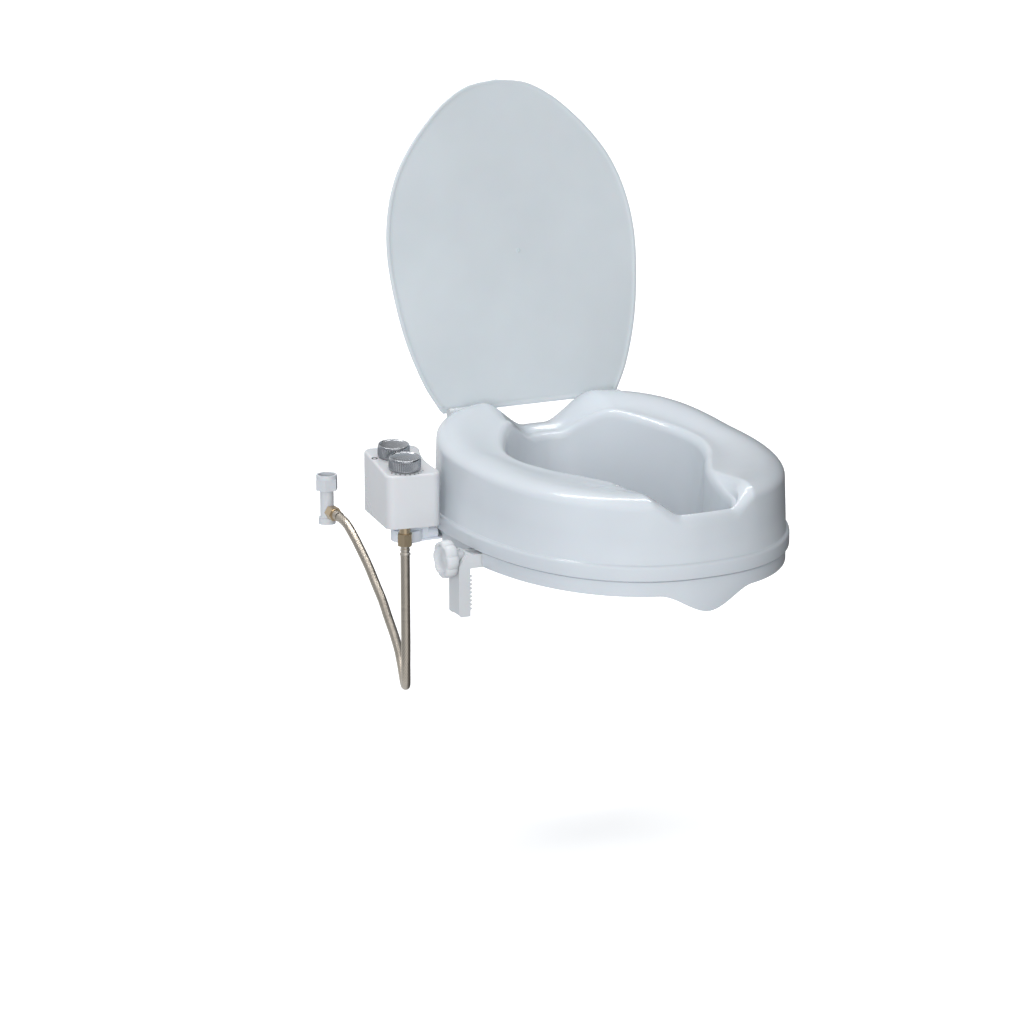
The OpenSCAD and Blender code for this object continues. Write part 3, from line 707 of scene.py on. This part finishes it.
def spot(name, x, y, r, hole=0.0):
    """A printed mark on the box's top face: a dot, or a ring if it has a hole."""
    if hole:
        loops = [[(q * math.cos(k * FULL / 32), q * math.sin(k * FULL / 32), z) for k in range(32)]
                 for q, z in ((hole, -0.05), (r, -0.05), (r, 0.08), (hole, 0.08))]
        return lofted(name, loops, round_trip=True, matrix=on_top(x, y))
    return turned(name, [(r, -0.05, 0), (r, 0.08, 0)], 24, matrix=on_top(x, y))


finished(make_box(), "box_white", "seat", "box_cover")
for control, y in DIAL_YS.items():
    finished(make_dial(control + "_dial_ribbed", y), "dial_silver", control + "_control", control + "_dial")

DOT_REACH = DIAL_D / 2 + 3.0
marks = []
for k in range(9):
    a = math.radians(-150 + 15 * k)
    marks.append(spot("dot", DIAL_X + DOT_REACH * math.cos(a), DIAL_YS["pressure"] + DOT_REACH * math.sin(a),
                      mix(1.4, 0.8, k / 8)))
marks.append(spot("ring", DIAL_X - DOT_REACH - 2.2, DIAL_YS["mode"] - 3, 3.8, 2.1))
finished(joined("dial_marks", marks), "seal_black", "seat")


# ---- Star knobs ----
KNOB_FACE = 222
KNOB_T = 16
KNOB_LOBES = 8
HUB_R = 8
HUB_START = 209.3
SCREW_Z = 5


def make_knob(name, sign, y):
    """Star knob with round lobes, a dished face and a hub, turned about the screw."""
    def radius(r, angle, lobes):
        return r - lobes * 2.4 * (1 - abs(math.cos(0.5 * KNOB_LOBES * angle)) ** 0.7)

    face = KNOB_FACE
    front = face + KNOB_T
    rows = [(4, HUB_START, 0), (HUB_R - 0.8, HUB_START, 0), (HUB_R, HUB_START + 0.8, 0),
            (HUB_R, face - 1.5, 0), (HUB_R + 1.5, face, 0), (17.5, face, 0.8), (20.5, face + 0.6, 1),
            (22.2, face + 2.2, 1),
            (23.0, face + 5, 1), (23.2, face + 8, 1), (23.0, face + 11, 1), (22.2, front - 2.2, 1),
            (20.6, front - 0.6, 1), (18.6, front, 0.9), (17.2, front - 0.5, 0.4), (16.3, front - 2, 0),
            (15.6, front - 4.4, 0), (14.4, front - 5, 0), (7, front - 5.4, 0), (5.5, front - 4.6, 0),
            (0.5, front - 4.4, 0)]
    place = Matrix.Translation((0, y, SCREW_Z)) @ Matrix.Rotation(sign * math.pi / 2, 4, "Y")
    return turned(name, rows, 192, radius, sharp=60, matrix=place)


for side, sign in (("left", -1), ("right", 1)):
    low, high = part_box("clamp_knob_" + side)
    middle = 0.5 * (low[1] + high[1]) / MM
    knob = make_knob("star_knob_" + side, sign, middle)
    finished(knob, "clamp_white", "knob_" + side, "clamp_knob_" + side)


# ---- Carried-over CAD pieces ----
SOFT_EDGES = {
    "clamp_arm_left": 0.6, "clamp_arm_right": 0.6, "hose_nut_box": 0.5, "hose_nut_tee": 0.5, "tee_body": 0.6,
    "tee_nut": 0.8, "mounting_arm": 0.4, "hinge_bracket_left": 0.6, "hinge_bracket_right": 0.6,
    "clamp_nut_left": 0.5, "clamp_nut_right": 0.5, "nozzle_housing": 0.6, "bolt_disc_left": 0.4,
    "bolt_disc_right": 0.4, "rim_pads": 0.6, "box_base": 0.3, "valve_body": 0.5,
}
for part in frame["record"]["subparts"]:
    piece = frame["nodes"][part["node"]]
    paint = BY_SLOT[part["material_slot"]]
    if not piece.data.materials:
        piece.data.materials.append(paint)
    for place in piece.material_slots:
        place.material = paint
    if part["node"] in SOFT_EDGES:
        softened(part["node"], SOFT_EDGES[part["node"]])


# ---- Stage and lights ----
FLOOR_Z = -0.39


def make_stage():
    """A pale floor that curves up into a backdrop behind the object."""
    half = 20.0
    rows = [(-20.0, FLOOR_Z), (3.0, FLOOR_Z)]
    rows += [(3.0 + 1.5 * math.sin(b), FLOOR_Z + 1.5 * (1 - math.cos(b)))
             for b in (math.radians(15 * k) for k in range(1, 7))]
    rows.append((4.5, 7.0))
    verts = [(x / MM, y / MM, z / MM) for y, z in rows for x in (-half, half)]
    faces = [(2 * i, 2 * i + 1, 2 * i + 3, 2 * i + 2) for i in range(len(rows) - 1)]
    stage = new_mesh("stage", verts, faces)
    stage.data.materials.append(material("stage_white", (0.92, 0.92, 0.92), 0.9, bump=0, mottle=0))
    shader = stage.active_material.node_tree.nodes["Principled BSDF"]
    shader.inputs["Emission Color"].default_value = (1, 1, 1, 1)
    shader.inputs["Emission Strength"].default_value = 0.3
    stage.visible_diffuse = False
    stage.visible_glossy = False


def make_light(name, at_point, size, power, aim=(0, 0, 0), mirrored=True):
    """A rectangular lamp; one that isn't mirrored shows in no reflection."""
    data = bpy.data.lights.new(name, "AREA")
    data.shape = "RECTANGLE"
    data.size, data.size_y = size
    data.energy = power
    lamp = bpy.data.objects.new(name, data)
    lamp.location = at_point
    lamp.rotation_euler = (Vector(aim) - Vector(at_point)).to_track_quat("-Z", "Y").to_euler()
    lamp.visible_glossy = mirrored
    bpy.context.scene.collection.objects.link(lamp)


def make_world():
    """Studio surroundings: bright ahead, behind and above, dimmer on the left and dark on the right."""
    world = bpy.data.worlds.new("world")
    world.use_nodes = True
    nodes = world.node_tree.nodes
    links = world.node_tree.links
    place = nodes.new("ShaderNodeTexCoord")
    across = nodes.new("ShaderNodeSeparateXYZ")
    links.new(place.outputs["Generated"], across.inputs["Vector"])
    tone = nodes.new("ShaderNodeValToRGB")
    tone.color_ramp.interpolation = "EASE"
    tone.color_ramp.elements[0].position = 0.08
    tone.color_ramp.elements[0].color = (0.42, 0.44, 0.47, 1)
    tone.color_ramp.elements[1].position = 0.3
    tone.color_ramp.elements[1].color = (0.76, 0.78, 0.80, 1)
    for position, level in ((0.6, 0.78), (0.8, 0.1)):
        tone.color_ramp.elements.new(position).color = (level, level * 1.02, level * 1.05, 1)
    half = nodes.new("ShaderNodeMapRange")
    half.inputs["From Min"].default_value = -1
    links.new(across.outputs["X"], half.inputs["Value"])
    links.new(half.outputs["Result"], tone.inputs["Fac"])
    links.new(tone.outputs["Color"], nodes["Background"].inputs["Color"])
    bpy.context.scene.world = world
    bpy.context.scene.view_settings.view_transform = "Standard"


make_stage()
make_world()
make_light("overhead", (-0.3, -0.4, 3.4), (3.2, 3.2), 5)
make_light("key", (-2.3, -3.0, 1.0), (1.8, 1.8), 76, mirrored=False)
make_light("backdrop", (0.2, 1.2, 3.6), (4.0, 1.0), 150, aim=(0.5, 4.5, 0.6))
make_light("glint", (-0.6, -2.6, 2.6), (1.0, 0.15), 3)
